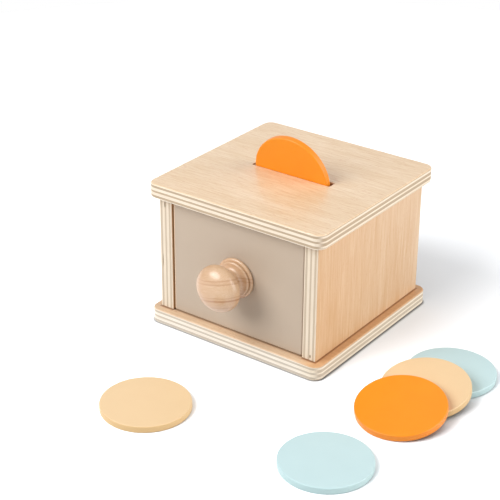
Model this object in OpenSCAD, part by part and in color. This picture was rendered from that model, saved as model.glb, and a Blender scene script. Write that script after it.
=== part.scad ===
// Coin box with a drawer: a coin goes in at the slot in the lid and comes back in the drawer.
// Millimetres, +Z up, +X to the right along the drawer's front, the drawer opens towards -Y.
// The origin is the middle of the base's underside.

/* [Box] */
// Width of the lid and the base, along the drawer's front
panel_w = 120; // [110:1:150]
// Depth of the lid and the base, from front to back
panel_d = 120; // [110:1:150]
// Height of the whole box
box_h = 90; // [88:1:120]
// Thickness of the box's plywood
ply_t = 9; // [8:0.5:12]
// How far the lid and the base stand out past the walls
overhang = 5; // [2:0.5:8]
// Radius of the lid's and the base's corners, seen from above
corner_r = 6; // [3:0.5:10]
// Cut on the edges of the lid and the base
board_ease = 0.9; // [0.4:0.1:1.4]
// Cut on the upright edges of the walls
wall_ease = 0.5; // [0.2:0.1:0.8]

/* [Coins] */
// Diameter of a coin
coin_d = 50; // [40:1:52]
// Thickness of a coin
coin_t = 4; // [3:0.5:6]
// Cut on the edges of a coin
coin_ease = 0.7; // [0.3:0.1:1]

/* [Slot] */
// Room at each end of the slot, beside a coin
slot_end_gap = 2; // [1:0.5:4]
// Room on each side of the leaning coin, in the slot
slot_side_gap = 0.22; // [0.15:0.01:0.6]
// How far the coin in the slot leans forward, in degrees
slot_lean = 9.5; // [0:0.5:12]
// How far the middle of the coin in the slot lies below the lid's top
slot_coin_sink = 1; // [0:0.5:6]

/* [Drawer] */
// Gap on each side of the drawer
drawer_side_gap = 1.5; // [0.5:0.1:2.5]
// Gap under and over the drawer's front
front_gap = 1; // [0.5:0.1:2]
// How far the drawer's front is set back from the walls' front edges
front_recess = 0.8; // [0:0.1:3]
// Thickness of the drawer's front
front_t = 9; // [7:0.5:12]
// Cut on the edges of the drawer's front
front_ease = 0.6; // [0.3:0.1:1]
// Radius of the corners of the drawer's front
front_corner_r = 1.2; // [1.1:0.1:3]
// Thickness of the drawer's walls
drawer_wall_t = 6; // [5:0.5:8]
// Height of the drawer's walls
drawer_wall_h = 46; // [35:1:48]
// Thickness of the drawer's floor
drawer_floor_t = 3; // [2:0.5:4]
// How high the drawer's floor sits above the lower edges of its walls
floor_lift = 2; // [1.5:0.5:5]
// How deep the drawer's floor reaches into the front and the walls
groove_depth = 2.5; // [1.5:0.1:3]
// Running gap under and behind the drawer
run_gap = 0.3; // [0.2:0.05:0.6]

/* [Knob] */
// Diameter of the knob's head
knob_d = 28; // [22:0.5:34]
// Length of the knob, from the drawer's front to its crown
knob_l = 25; // [21:0.5:32]
// Height of the domed front of the head
dome_h = 8.6; // [6:0.1:10]
// Height of the rounded back of the head
head_back_h = 6.2; // [4:0.1:8]
// Diameter of the knob's neck
neck_d = 13; // [10:0.5:16]
// Diameter of the collar, at the drawer's front
collar_d = 25.4; // [21:0.2:30]
// Thickness of the collar
collar_t = 2.4; // [1.6:0.1:3]
// Diameter of the step on the collar
step_d = 20.6; // [18:0.2:26]
// Thickness of the step on the collar
step_t = 2; // [1.4:0.1:2.6]

/* [Fasteners] */
// Diameter of the dowels in the lid
dowel_d = 5; // [4:0.5:6]
// How deep a dowel reaches into the lid
dowel_in_lid = 6; // [4:0.5:6.5]
// How deep a dowel reaches into a wall
dowel_in_wall = 12; // [8:1:18]
// Diameter of the small dowels in the drawer
pin_d = 3; // [2:0.5:3]
// How deep a small dowel reaches into the end of a drawer wall
pin_in_end = 12; // [8:1:16]
// How deep a small dowel reaches into the drawer's front
pin_in_front = 5; // [4:0.5:6]
// Diameter of the base's wood screws
screw_d = 3; // [2.5:0.5:4]
// Length of the base's wood screws
screw_l = 25; // [20:1:30]
// Diameter of the base screws' heads
screw_head_d = 6; // [5.5:0.5:7.5]
// Diameter of the knob's screw
knob_screw_d = 4; // [3:0.5:5]
// How deep the knob's screw reaches into the knob
knob_screw_in = 12; // [8:1:14]

/* [Coins on the floor] */
// From the base's front edge to the peach coin
peach_away = 50.3; // [20:0.1:90]
// How far the peach coin lies to the right of the box's middle
peach_right = -0.2; // [-20:0.1:20]
// From the base's front edge to the blue coin
blue_away = 37; // [5:0.1:90]
// From the base's right edge to the blue coin
blue_right = 21.9; // [5:0.1:60]
// From the base's right edge to the stack
stack_away = 30.6; // [10:0.1:60]
// How far the stack's flat coin lies in front of the box's middle
stack_front = 8.3; // [-20:0.1:40]
// Turn of the stack's row, in degrees
stack_turn = 1.4; // [-20:0.1:20]
// How far the peach coin's low edge lies in front of the flat coin
peach_step = 27.4; // [20:0.1:32]
// How far the orange coin's low edge lies in front of the peach coin's
orange_step = 24.3; // [20:0.1:32]
// Gap where a coin leans on another
lean_gap = 0.15; // [0.1:0.05:0.4]

/* [Hidden] */
$fn = 96;

// Runs a cut out past the face that it starts from
over = 1;
// Room round a dowel or a screw, and at its end
fit_gap = 0.05;
end_gap = 0.5;

// Finishes
birch = [0.93, 0.83, 0.71];
thin_ply = [0.87, 0.74, 0.58];
taupe = [0.80, 0.73, 0.66];
beech = [0.91, 0.78, 0.63];
dowel_wood = [0.90, 0.80, 0.66];
zinc = [0.78, 0.78, 0.80];
orange = [1.0, 0.60, 0.16];
peach = [0.97, 0.84, 0.66];
pale_blue = [0.83, 0.92, 0.93];

// Box
wall_w = panel_w - 2 * overhang;
wall_d = panel_d - 2 * overhang;
wall_h = box_h - 2 * ply_t;
lid_z = box_h - ply_t;
side_x = wall_w / 2 - ply_t / 2;
back_y = wall_d / 2 - ply_t / 2;
inner_w = wall_w - 2 * ply_t;
// Shares of a wall's width at which its dowels and screws stand
fastener_shares = [-0.32, 0.32];

// Slot and the coin in it
slot_l = coin_d + 2 * slot_end_gap;
slot_w = coin_t / cos(slot_lean) + ply_t * tan(slot_lean) + 2 * slot_side_gap;
slot_coin_z = box_h - slot_coin_sink;
slot_coin_y = (lid_z + ply_t / 2 - slot_coin_z) * tan(slot_lean);

// Drawer
drawer_w = inner_w - 2 * drawer_side_gap;
front_h = wall_h - 2 * front_gap;
front_z = ply_t + wall_h / 2;
face_y = -wall_d / 2 + front_recess;
front_back_y = face_y + front_t;
drawer_rear_y = wall_d / 2 - ply_t - run_gap;
drawer_wall_l = drawer_rear_y - front_back_y;
drawer_z = ply_t + run_gap;
floor_z = drawer_z + floor_lift;
back_wall_z = floor_z + drawer_floor_t;
back_wall_h = drawer_z + drawer_wall_h - back_wall_z;
back_wall_w = drawer_w - 2 * drawer_wall_t;
drawer_wall_x = drawer_w / 2 - drawer_wall_t / 2;
// Shares of a drawer wall's height at which its small dowels lie
pin_shares = [0.3, 0.8];

// Knob
head_h = knob_l - dome_h;
head_r = knob_d / 2;
neck_low_h = collar_t + step_t + (step_d - neck_d) / 4;
// How full the dome is: 2 gives an ellipse, more gives a flatter crown
dome_power = 2.3;
arc_steps = 10;
dome_steps = 16;

// Knob's screw and washer
washer_t = 1;
washer_d = 2.4 * knob_screw_d;
knob_head_d = 2 * knob_screw_d;
knob_head_top_d = 0.7 * knob_head_d;
knob_head_h = 0.6 * knob_screw_d;
knob_driver_d = 0.9 * knob_screw_d;
knob_driver_w = 0.22 * knob_screw_d;

// Base's screws
base_head_h = (screw_head_d - screw_d) / 2;
base_head_sink = 0.2;
base_driver_d = 0.55 * screw_head_d;
base_driver_w = 0.14 * screw_head_d;
screw_point_h = screw_d;
screw_tip_d = screw_d / 4;

// Leaning coins: each tilt lifts the underside over the top rim of the coin below
coin_r = coin_d / 2;
peach_tilt = atan((coin_t + lean_gap) / peach_step);
orange_tilt = atan((coin_t * cos(peach_tilt) + lean_gap) / orange_step);
peach_low_y = -coin_r - peach_step;
orange_low_y = peach_low_y - coin_t * sin(peach_tilt) - orange_step;

// Outlines
function eased_section(w, t, e) = [
    [-w / 2 + e, 0], [w / 2 - e, 0], [w / 2, e], [w / 2, t - e],
    [w / 2 - e, t], [-w / 2 + e, t], [-w / 2, t - e], [-w / 2, e]
];
function eased_half(r, t, e) = [[0, 0], [r - e, 0], [r, e], [r, t - e], [r - e, t], [0, t]];
function oval(x, y, rx, ry, from, to, steps) = [
    for (i = [0:steps]) let (a = from + (to - from) * i / steps) [x + rx * cos(a), y + ry * sin(a)]
];
function dome(h, r, rise, power, steps) = [
    for (i = [0:steps]) let (a = 90 * i / steps)
        [r * pow(max(cos(a), 0), 2 / power), h + rise * pow(sin(a), 2 / power)]
];

knob_outline = concat(
    [[0, 0]],
    oval((collar_d - collar_t) / 2, collar_t / 2, collar_t / 2, collar_t / 2, -90, 90, arc_steps),
    oval((step_d - step_t) / 2, collar_t + step_t / 2, step_t / 2, step_t / 2, -90, 90, arc_steps),
    oval((step_d - step_t) / 2, neck_low_h, (step_d - step_t - neck_d) / 2,
        neck_low_h - collar_t - step_t, -90, -180, arc_steps),
    oval(0, head_h, head_r, head_back_h, -acos(neck_d / knob_d), 0, arc_steps),
    dome(head_h, head_r, dome_h, dome_power, dome_steps)
);

// A flat board with rounded corners and eased edges, lying on z = 0
module eased_board(w, d, t, r, e) {
    flat_x = w / 2 - r;
    flat_y = d / 2 - r;
    for (sx = [-1, 1], sy = [-1, 1])
        translate([sx * flat_x, sy * flat_y, 0])
            rotate_extrude()
                polygon(eased_half(r, t, e));
    rotate([90, 0, 90])
        translate([0, 0, -flat_x])
            linear_extrude(2 * flat_x)
                polygon(eased_section(d, t, e));
    rotate([90, 0, 0])
        translate([0, 0, -flat_y])
            linear_extrude(2 * flat_y)
                polygon(eased_section(w, t, e));
}

// An upright board with eased upright edges, centred on x and y, standing on z = 0
module upright_board(w, d, h, e) {
    linear_extrude(h)
        polygon([
            [-w / 2 + e, -d / 2], [w / 2 - e, -d / 2], [w / 2, -d / 2 + e], [w / 2, d / 2 - e],
            [w / 2 - e, d / 2], [-w / 2 + e, d / 2], [-w / 2, d / 2 - e], [-w / 2, -d / 2 + e]
        ]);
}

// Puts its children at each fastener's place in the plan of the three fixed walls
module at_fasteners() {
    for (side = [-1, 1], share = fastener_shares)
        translate([side * side_x, share * wall_d, 0])
            children();
    for (share = fastener_shares)
        translate([share * inner_w, back_y, 0])
            children();
}

// Wood screw with a countersunk head, point up, its head's face at z = 0
module wood_screw(grow = 0) {
    translate([0, 0, -grow])
        cylinder(h = base_head_h, d1 = screw_head_d + 2 * grow, d2 = screw_d + 2 * grow);
    cylinder(h = screw_l - screw_point_h, d = screw_d + 2 * grow);
    translate([0, 0, screw_l - screw_point_h])
        cylinder(h = screw_point_h + grow, d1 = screw_d + 2 * grow, d2 = screw_tip_d + 2 * grow);
}

module base_screw_holes() {
    at_fasteners()
        translate([0, 0, base_head_sink]) {
            wood_screw(fit_gap);
            translate([0, 0, -base_head_sink - over])
                cylinder(h = base_head_sink + over, d = screw_head_d + 2 * fit_gap);
        }
}

module lid_dowel_holes() {
    at_fasteners()
        translate([0, 0, lid_z - dowel_in_wall - end_gap])
            cylinder(h = dowel_in_wall + dowel_in_lid + 2 * end_gap, d = dowel_d + 2 * fit_gap);
}

// Puts its children at each small dowel between the drawer's front and its walls, pointing to +Y
module at_front_pins() {
    for (side = [-1, 1], share = pin_shares)
        translate([side * drawer_wall_x, front_back_y, drawer_z + share * drawer_wall_h])
            rotate([-90, 0, 0])
                children();
}

// Puts its children at each small dowel in the drawer's back wall, pointing inwards along X
module at_back_pins() {
    for (side = [-1, 1], share = pin_shares)
        translate([
            side * drawer_w / 2, drawer_rear_y - drawer_wall_t / 2,
            back_wall_z + share * back_wall_h
        ])
            rotate([0, -90 * side, 0])
                children();
}

module front_pin_holes() {
    at_front_pins()
        translate([0, 0, -pin_in_front - end_gap])
            cylinder(h = pin_in_front + pin_in_end + 2 * end_gap, d = pin_d + 2 * fit_gap);
}

module back_pin_holes() {
    at_back_pins()
        translate([0, 0, -over])
            cylinder(h = over + drawer_wall_t + pin_in_end + end_gap, d = pin_d + 2 * fit_gap);
}

// The drawer's floor, also used to cut the grooves that hold it
module floor_board(grow = 0) {
    w = back_wall_w + 2 * groove_depth + 2 * grow;
    y0 = front_back_y - groove_depth - grow;
    translate([-w / 2, y0, floor_z - grow])
        cube([w, drawer_rear_y - y0, drawer_floor_t + 2 * grow]);
}

module floor_groove() {
    floor_board(fit_gap);
    translate([0, over, 0])
        floor_board(fit_gap);
}

module drawer_side_wall(side) {
    color(birch)
        difference() {
            translate([side * drawer_wall_x, front_back_y + drawer_wall_l / 2, drawer_z])
                upright_board(drawer_wall_t, drawer_wall_l, drawer_wall_h, wall_ease);
            floor_groove();
            front_pin_holes();
            back_pin_holes();
        }
}

module side_panel(side) {
    color(birch)
        difference() {
            translate([side * side_x, 0, ply_t])
                upright_board(ply_t, wall_d, wall_h, wall_ease);
            lid_dowel_holes();
            base_screw_holes();
        }
}

// A coin lying on z = 0, its edges eased
module coin(tint) {
    color(tint)
        rotate_extrude()
            polygon(eased_half(coin_r, coin_t, coin_ease));
}

// A coin whose low edge touches the floor at y = 0 and which rises to +Y
module leaning_coin(tint, tilt) {
    rotate([tilt, 0, 0])
        translate([0, coin_r, 0])
            coin(tint);
}

// Places its children in the stack's own frame: the flat coin's middle is the origin
module in_stack() {
    translate([panel_w / 2 + stack_away + coin_r, -stack_front, 0])
        rotate([0, 0, -stack_turn])
            children();
}

module lid_panel() {
    color(birch)
        difference() {
            translate([0, 0, lid_z])
                eased_board(panel_w, panel_d, ply_t, corner_r, board_ease);
            translate([-slot_l / 2, -slot_w / 2, lid_z - over])
                cube([slot_l, slot_w, ply_t + 2 * over]);
            lid_dowel_holes();
        }
}

module base_panel() {
    color(birch)
        difference() {
            eased_board(panel_w, panel_d, ply_t, corner_r, board_ease);
            base_screw_holes();
        }
}

module left_side_panel() {
    side_panel(-1);
}

module right_side_panel() {
    side_panel(1);
}

module back_panel() {
    color(birch)
        difference() {
            translate([0, back_y, ply_t])
                upright_board(inner_w, ply_t, wall_h, wall_ease);
            lid_dowel_holes();
            base_screw_holes();
        }
}

module lid_dowels() {
    color(dowel_wood)
        at_fasteners()
            translate([0, 0, lid_z - dowel_in_wall])
                cylinder(h = dowel_in_wall + dowel_in_lid, d = dowel_d);
}

module base_screws() {
    color(zinc)
        at_fasteners()
            translate([0, 0, base_head_sink])
                difference() {
                    wood_screw();
                    for (turn = [0, 90])
                        rotate([0, 0, turn])
                            translate([-base_driver_d / 2, -base_driver_w / 2, -over])
                                cube([base_driver_d, base_driver_w, over + base_head_h / 2]);
                }
}

module drawer_front() {
    color(taupe)
        difference() {
            translate([0, front_back_y, front_z])
                rotate([90, 0, 0])
                    eased_board(drawer_w, front_h, front_t, front_corner_r, front_ease);
            floor_groove();
            front_pin_holes();
            translate([0, front_back_y + over, front_z])
                rotate([90, 0, 0])
                    cylinder(h = front_t + 2 * over, d = knob_screw_d + 2 * fit_gap);
        }
}

module drawer_left_wall() {
    drawer_side_wall(-1);
}

module drawer_right_wall() {
    drawer_side_wall(1);
}

module drawer_back_wall() {
    color(birch)
        difference() {
            translate([-back_wall_w / 2, drawer_rear_y - drawer_wall_t, back_wall_z])
                cube([back_wall_w, drawer_wall_t, back_wall_h]);
            back_pin_holes();
        }
}

module drawer_floor() {
    color(thin_ply)
        floor_board();
}

module drawer_front_dowels() {
    color(dowel_wood)
        at_front_pins()
            translate([0, 0, -pin_in_front])
                cylinder(h = pin_in_front + pin_in_end, d = pin_d);
}

module drawer_back_dowels() {
    color(dowel_wood)
        at_back_pins()
            cylinder(h = drawer_wall_t + pin_in_end, d = pin_d);
}

module drawer_knob() {
    color(beech)
        translate([0, face_y, front_z])
            rotate([90, 0, 0])
                difference() {
                    rotate_extrude()
                        polygon(knob_outline);
                    translate([0, 0, -over])
                        cylinder(h = over + knob_screw_in + end_gap, d = knob_screw_d + 2 * fit_gap);
                }
}

// The screw's head rests on the washer, inside the drawer
module knob_screw() {
    shank_l = washer_t + front_t + knob_screw_in;
    color(zinc)
        translate([0, front_back_y + washer_t, front_z])
            rotate([90, 0, 0])
                difference() {
                    union() {
                        cylinder(h = shank_l, d = knob_screw_d);
                        translate([0, 0, -knob_head_h])
                            cylinder(h = knob_head_h, d1 = knob_head_top_d, d2 = knob_head_d);
                    }
                    for (turn = [0, 90])
                        rotate([0, 0, turn])
                            translate([-knob_driver_d / 2, -knob_driver_w / 2, -knob_head_h - over])
                                cube([knob_driver_d, knob_driver_w, over + knob_head_h / 2]);
                }
}

module knob_washer() {
    color(zinc)
        translate([0, front_back_y + washer_t, front_z])
            rotate([90, 0, 0])
                difference() {
                    cylinder(h = washer_t, d = washer_d);
                    translate([0, 0, -over])
                        cylinder(h = washer_t + 2 * over, d = knob_screw_d + 2 * fit_gap);
                }
}

module slot_coin() {
    translate([0, slot_coin_y, slot_coin_z])
        rotate([slot_lean - 90, 0, 0])
            translate([0, 0, -coin_t / 2])
                coin(orange);
}

module floor_peach_coin() {
    translate([peach_right, -panel_d / 2 - peach_away - coin_r, 0])
        coin(peach);
}

module floor_blue_coin() {
    translate([panel_w / 2 + blue_right + coin_r, -panel_d / 2 - blue_away - coin_r, 0])
        coin(pale_blue);
}

module stack_blue_coin() {
    in_stack()
        coin(pale_blue);
}

module stack_peach_coin() {
    in_stack()
        translate([0, peach_low_y, 0])
            leaning_coin(peach, peach_tilt);
}

module stack_orange_coin() {
    in_stack()
        translate([0, orange_low_y, 0])
            leaning_coin(orange, orange_tilt);
}

lid_panel();
base_panel();
left_side_panel();
right_side_panel();
back_panel();
lid_dowels();
base_screws();
drawer_front();
drawer_left_wall();
drawer_right_wall();
drawer_back_wall();
drawer_floor();
drawer_front_dowels();
drawer_back_dowels();
drawer_knob();
knob_screw();
knob_washer();
slot_coin();
floor_peach_coin();
floor_blue_coin();
stack_blue_coin();
stack_peach_coin();
stack_orange_coin();
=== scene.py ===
import math

import bmesh
import bpy
from mathutils import Matrix, Vector


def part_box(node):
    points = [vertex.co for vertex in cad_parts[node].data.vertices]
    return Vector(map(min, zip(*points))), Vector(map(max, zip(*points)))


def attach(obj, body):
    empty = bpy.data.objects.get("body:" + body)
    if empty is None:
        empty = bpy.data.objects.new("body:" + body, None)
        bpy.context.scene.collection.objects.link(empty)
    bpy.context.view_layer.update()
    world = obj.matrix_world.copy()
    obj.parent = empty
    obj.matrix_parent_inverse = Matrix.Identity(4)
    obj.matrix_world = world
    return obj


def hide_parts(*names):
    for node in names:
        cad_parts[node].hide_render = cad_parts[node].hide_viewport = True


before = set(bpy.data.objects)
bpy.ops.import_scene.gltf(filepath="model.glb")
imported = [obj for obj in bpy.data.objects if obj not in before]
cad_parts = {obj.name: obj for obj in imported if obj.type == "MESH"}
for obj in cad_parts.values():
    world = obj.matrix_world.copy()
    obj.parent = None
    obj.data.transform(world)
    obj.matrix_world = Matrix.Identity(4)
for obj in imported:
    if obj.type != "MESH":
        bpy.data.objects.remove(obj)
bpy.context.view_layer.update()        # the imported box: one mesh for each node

mm = 0.001
axisNames = "XYZ"
weldReach = mm / 500    # points closer than this are one point
ringRadius = 10 * mm    # of the ring that an outline is turned round; any size works
cutterSteps = 48    # sides of a round cutter
bumpDepth = 0.2 * mm
creases = {"board": 40, "turned": 30, "fluted": 25}    # degrees; edges past these stay sharp


# Camera, from the angle and distance of the photograph
cameraSetup = {
    "position": (0.4250, -0.6240, 0.4183),
    "azimuth": 36.121,    # degrees, turned from looking along +Y
    "elevation": 26.604,    # degrees, above the floor
    "roll": 0.411,
    "lens": 102.36,
    "sensor": 36,
    "farEnd": 20,    # metres
}


def addObject(name, data):
    made = bpy.data.objects.new(name, data)
    bpy.context.scene.collection.objects.link(made)
    return made


def direction(azimuth, elevation):    # from degrees round the box and above the floor
    azimuth, elevation = math.radians(azimuth), math.radians(elevation)
    return Vector((math.sin(azimuth) * math.cos(elevation), -math.cos(azimuth) * math.cos(elevation),
                   math.sin(elevation)))


def makeCamera():
    setup = cameraSetup
    back = direction(setup["azimuth"], setup["elevation"])
    level = direction(setup["azimuth"] + 90, 0)
    rise = back.cross(level)
    roll = math.radians(setup["roll"])
    right = math.cos(roll) * level + math.sin(roll) * rise
    up = math.cos(roll) * rise - math.sin(roll) * level
    data = bpy.data.cameras.new("photoCamera")
    data.lens = setup["lens"]
    data.sensor_width = setup["sensor"]
    data.clip_end = setup["farEnd"]
    camera = addObject("photoCamera", data)
    camera.matrix_world = Matrix((right, up, back)).transposed().to_4x4()
    camera.location = setup["position"]
    bpy.context.scene.camera = camera


makeCamera()
print("camera is set")


# A socket that can be used in sums, and the tree that it belongs to
class Wire:
    def __init__(self, graph, socket):
        self.graph, self.socket = graph, socket

    def other(self, name):    # another output of the same node
        return Wire(self.graph, self.socket.node.outputs[name])

    def __add__(self, value):
        return self.graph.math("ADD", self, value)

    def __sub__(self, value):
        return self.graph.math("SUBTRACT", self, value)

    def __rsub__(self, value):
        return self.graph.math("SUBTRACT", value, self)

    def __mul__(self, value):
        return self.graph.math("MULTIPLY", self, value)

    def __truediv__(self, value):
        return self.graph.math("DIVIDE", self, value)

    __radd__ = __add__
    __rmul__ = __mul__


class Graph:
    def __init__(self, tree):
        self.tree = tree

    def add(self, kind, settings=None, inputs=None, output=0):
        made = self.tree.nodes.new(kind)
        for name, value in (settings or {}).items():
            if name == "stops":
                self.setStops(made.color_ramp, value)
            else:
                setattr(made, name, value)
        for key, value in (inputs or {}).items():
            if isinstance(value, Wire):
                self.tree.links.new(value.socket, made.inputs[key])
            else:
                made.inputs[key].default_value = value
        return Wire(self, made.outputs[output]) if made.outputs else made

    def setStops(self, ramp, stops):    # stops are (place, grey value)
        ramp.elements.remove(ramp.elements[-1])
        for count, (place, grey) in enumerate(stops):
            stop = ramp.elements.new(place) if count else ramp.elements[0]
            stop.position = place
            stop.color = (grey, grey, grey, 1)

    def math(self, operation, first, second=0.0):
        return self.add("ShaderNodeMath", {"operation": operation}, {0: first, 1: second})

    def clamped(self, value):
        return self.add("ShaderNodeClamp", inputs={0: value})

    def smooth(self, value, low, high):
        return self.add("ShaderNodeMapRange", {"interpolation_type": "SMOOTHSTEP"},
                        {0: value, 1: low, 2: high})

    def mix(self, factor, first, second, blend="MIX"):
        return self.add("ShaderNodeMix", {"data_type": "RGBA", "blend_type": blend},
                        {0: factor, 6: first, 7: second}, 2)

    def vector(self, x, y, z):
        return self.add("ShaderNodeCombineXYZ", inputs={0: x, 1: y, 2: z})

    def noise(self, x, y, z, detail=2.0, roughness=0.5):
        return self.add("ShaderNodeTexNoise", inputs={
            "Vector": self.vector(x, y, z), "Scale": 1.0, "Detail": detail, "Roughness": roughness})

    def ramp(self, value, stops):
        return self.add("ShaderNodeValToRGB", {"stops": stops}, {0: value})


# Geometry Nodes trees
def geometryTree(name, floats, others):    # names of sockets, and the kind of each other socket
    kinds = {"Geometry": "Geometry", **dict.fromkeys(floats, "Float"), **others, "Material": "Material"}
    tree = bpy.data.node_groups.new(name, "GeometryNodeTree")
    tree.interface.new_socket("Geometry", in_out="OUTPUT", socket_type="NodeSocketGeometry")
    for label, kind in kinds.items():
        tree.interface.new_socket(label, in_out="INPUT", socket_type="NodeSocket" + kind)
    graph = Graph(tree)
    sockets = graph.add("NodeGroupInput").socket.node.outputs
    return graph, {socket.name: Wire(graph, socket) for socket in sockets if socket.name}


def closeTree(graph, entry, shape):
    whole = graph.add("GeometryNodeRealizeInstances", inputs={"Geometry": shape})
    dressed = graph.add("GeometryNodeSetMaterial", inputs={
        "Geometry": whole, "Material": entry["Material"]})
    graph.add("NodeGroupOutput", inputs={"Geometry": dressed})
    return graph.tree


def makeBoardTree():    # sweeps an edge section round a rectangle with rounded corners
    graph, entry = geometryTree("board", ("Width", "Depth", "Corner", "Inset"), {"Corner steps": "Int"})
    inset = entry["Inset"]
    path = graph.add("GeometryNodeCurvePrimitiveQuadrilateral", inputs={
        "Width": entry["Width"] - 2 * inset, "Height": entry["Depth"] - 2 * inset})
    rounded = graph.add("GeometryNodeFilletCurve", {"mode": "POLY"}, {
        "Curve": path, "Count": entry["Corner steps"], "Radius": entry["Corner"] - inset,
        "Limit Radius": True})
    section = graph.add("GeometryNodeMeshToCurve", inputs={"Mesh": entry["Geometry"]})
    edge = graph.add("GeometryNodeCurveToMesh", inputs={"Curve": rounded, "Profile Curve": section})
    return closeTree(graph, entry, edge)


def makeTurningTree():    # turns an outline of (radius, height) about Z
    graph, entry = geometryTree("turning", ("Radius",), {"Steps": "Int"})
    radius = entry["Radius"]
    ring = graph.add("GeometryNodeCurvePrimitiveCircle", inputs={
        "Resolution": entry["Steps"], "Radius": radius})
    outline = graph.add("GeometryNodeMeshToCurve", inputs={"Mesh": entry["Geometry"]})
    moved = graph.add("GeometryNodeTransform", inputs={
        "Geometry": outline, "Translation": graph.vector(0 - radius, 0.0, 0.0),
        "Scale": (1, -1, 1)})
    turned = graph.add("GeometryNodeCurveToMesh", inputs={"Curve": ring, "Profile Curve": moved})
    return closeTree(graph, entry, turned)


def makeRidgeTree():    # cuts flutes along a turned piece, or a thread round it
    graph, entry = geometryTree(
        "ridges", ("Round", "Per metre", "Depth share", "From", "To", "Fade"), {})
    place = graph.add("GeometryNodeInputPosition")
    parts = graph.add("ShaderNodeSeparateXYZ", inputs={0: place})
    x, y, z = parts, parts.other("Y"), parts.other("Z")
    angle = graph.math("ARCTAN2", y, x) / math.tau
    wave = graph.math("PINGPONG", angle * entry["Round"] + z * entry["Per metre"], 0.5) * 2
    start = graph.smooth(z, entry["From"], entry["From"] + entry["Fade"])
    stop = graph.smooth(z, entry["To"] - entry["Fade"], entry["To"])
    keep = 1 - wave * entry["Depth share"] * start * (1 - stop)
    shaped = graph.add("GeometryNodeSetPosition", inputs={
        "Geometry": entry["Geometry"], "Position": graph.vector(x * keep, y * keep, z)})
    return closeTree(graph, entry, shaped)


def makePlacingTree():    # sets one shape on each of a few points
    graph, entry = geometryTree("placing", ("Spin",), {"Shape": "Object"})
    shape = graph.add("GeometryNodeObjectInfo", {"transform_space": "ORIGINAL"},
                      {"Object": entry["Shape"]}, "Geometry")
    spin = graph.add("FunctionNodeRandomValue", {"data_type": "FLOAT"},
                     {"Min": 0.0, "Max": entry["Spin"], "Seed": 7}, "Value")
    placed = graph.add("GeometryNodeInstanceOnPoints", inputs={
        "Points": entry["Geometry"], "Instance": shape, "Rotation": graph.vector(0.0, 0.0, spin)})
    return closeTree(graph, entry, placed)


boardTree = makeBoardTree()
turningTree = makeTurningTree()
ridgeTree = makeRidgeTree()
placingTree = makePlacingTree()
print("geometry trees are made")


# Outlines, in millimetres
def arc(centreX, centreY, radiusX, radiusY, fromAngle, toAngle, steps):
    points = []
    for step in range(steps + 1):
        turn = math.radians(fromAngle + (toAngle - fromAngle) * step / steps)
        points.append((centreX + radiusX * math.cos(turn), centreY + radiusY * math.sin(turn)))
    return points


def roundedEdge(thickness, arris, steps=5):    # runs outwards from the arris's own centre line
    half = thickness / 2
    if arris == 0:
        return [(0, -half), (0, half)]
    return (arc(0, arris - half, arris, arris, -90, 0, steps)
            + arc(0, half - arris, arris, arris, 0, 90, steps))


def openingEdge(thickness, ease, over=1, steps=4):    # a cutter that rounds over both rims
    rims = [(ease - x, y) for x, y in roundedEdge(thickness, ease, steps)]
    return [(ease, -thickness / 2 - over), *rims, (ease, thickness / 2 + over)]


# Meshes
def meshObject(name, points, links=(), faces=()):
    mesh = bpy.data.meshes.new(name)
    mesh.from_pydata(points, links, faces)
    return addObject(name, mesh)


def lineObject(name, points):
    links = [(count, count + 1) for count in range(len(points) - 1)]
    return meshObject(name, [Vector((*point, 0)) * mm for point in points], links)


def freeze(piece):    # what its modifiers make becomes its mesh
    seen = piece.evaluated_get(bpy.context.evaluated_depsgraph_get())
    mesh = bpy.data.meshes.new_from_object(seen)
    piece.modifiers.clear()
    piece.data = mesh
    mesh.name = piece.name


def runTree(piece, tree, values):
    modifier = piece.modifiers.new(tree.name, "NODES")
    modifier.node_group = tree
    for item in tree.interface.items_tree:
        if item.in_out == "INPUT" and item.name in values:
            modifier[item.identifier] = values[item.name]
    freeze(piece)


def closeShell(piece):    # merges doubles, closes open rims and turns every face outwards
    shell = bmesh.new()
    shell.from_mesh(piece.data)
    bmesh.ops.remove_doubles(shell, verts=shell.verts, dist=weldReach)
    bmesh.ops.holes_fill(shell, edges=[edge for edge in shell.edges if edge.is_boundary])
    bmesh.ops.recalc_face_normals(shell, faces=shell.faces)
    shell.to_mesh(piece.data)
    shell.free()
    return piece


def moveMesh(piece, matrix):
    piece.data.transform(matrix)
    return piece


def shift(place):    # a move in millimetres
    return Matrix.Translation(Vector(place) * mm)


def cut(piece, *cutters):
    for cutter in cutters:
        modifier = piece.modifiers.new("cut", "BOOLEAN")
        modifier.operation = "DIFFERENCE"
        modifier.solver = "EXACT"
        modifier.object = cutter
        freeze(piece)


def drop(*helpers):
    for helper in helpers:
        bpy.data.objects.remove(helper)


def shade(piece, crease):    # smooth over the rounded edges, flat over the flats
    mesh = piece.data
    mesh.shade_smooth()
    mesh.set_sharp_from_angle(angle=math.radians(creases[crease]))
    modifier = piece.modifiers.new("evenShading", "WEIGHTED_NORMAL")
    modifier.keep_sharp = True
    modifier.weight = 100    # large faces lead
    freeze(piece)


def finishPiece(piece, material, body, node, crease="board"):
    closeShell(piece)
    shade(piece, crease)
    piece.data.materials.clear()
    piece.data.materials.append(material)
    for face in piece.data.polygons:
        face.material_index = 0
    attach(piece, body)
    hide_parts(node)


# Directions: the two that lie in a board and the one through it
layings = {
    "Z": Matrix.Identity(4),
    "Y": Matrix(((1, 0, 0), (0, 0, 1), (0, 1, 0))).to_4x4(),
    "X": Matrix(((0, 0, 1), (1, 0, 0), (0, 1, 0))).to_4x4(),
}
frontward = Matrix.Rotation(math.radians(90), 4, "X")    # turns +Z to -Y


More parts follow.
